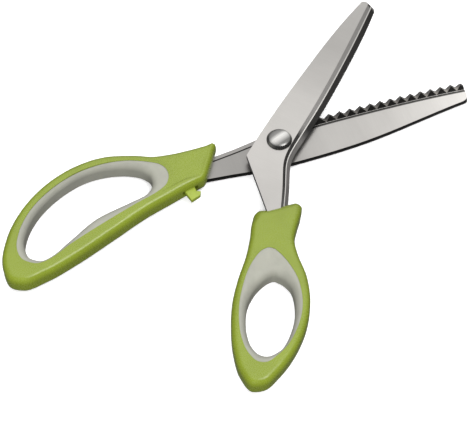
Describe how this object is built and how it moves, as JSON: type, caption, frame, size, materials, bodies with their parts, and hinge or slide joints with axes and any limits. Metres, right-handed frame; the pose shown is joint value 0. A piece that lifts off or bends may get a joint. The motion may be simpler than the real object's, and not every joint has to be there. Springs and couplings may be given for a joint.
{
  "type": "decorative edge scissors",
  "caption": "Pinking shears with a zigzag-toothed steel blade pair on a central screw, lime green plastic finger bow and thumb ring with soft grey linings, and a small lock latch.",
  "frame": {"origin": "on the axis of the pivot screw, midway between the two blades", "axes": "+Z along the pivot axis towards the screw's head, +X along the rear blade towards its tip, +Y on the rear blade's toothed side"},
  "size_m": [0.234, 0.1848, 0.0111],
  "materials": {
    "blade_steel": "fine brushed across the blade",
    "screw_steel": "turned, satin",
    "spring_steel": "satin",
    "pin_steel": "ground",
    "washer_plastic": "matte",
    "green_plastic": "moulded, soft gloss",
    "latch_plastic": "moulded, soft gloss",
    "grey_rubber": "soft, matte"
  },
  "bodies": {
    "rear_half": {"rear_blade": "blade_steel", "finger_handle": "green_plastic", "finger_grip": "grey_rubber", "pivot_screw": "screw_steel", "pivot_nut": "screw_steel", "spring_washer": "spring_steel", "thrust_washer": "washer_plastic", "latch_pin": "pin_steel"},
    "front_half": {"front_blade": "blade_steel", "thumb_handle": "green_plastic", "thumb_grip": "grey_rubber"},
    "latch": {"latch_lever": "latch_plastic"}
  },
  "joints": [
    {"name": "pivot", "type": "hinge", "parent": "rear_half", "child": "front_half", "pos_m": [0, 0, 0], "axis": [0, 0, 1], "range_deg": [-41, 30]},
    {"name": "latch_swing", "type": "hinge", "parent": "rear_half", "child": "latch", "pos_m": [-0.047, -0.008, 0], "axis": [0, 0, 1], "range_deg": [0, 20]}
  ]
}
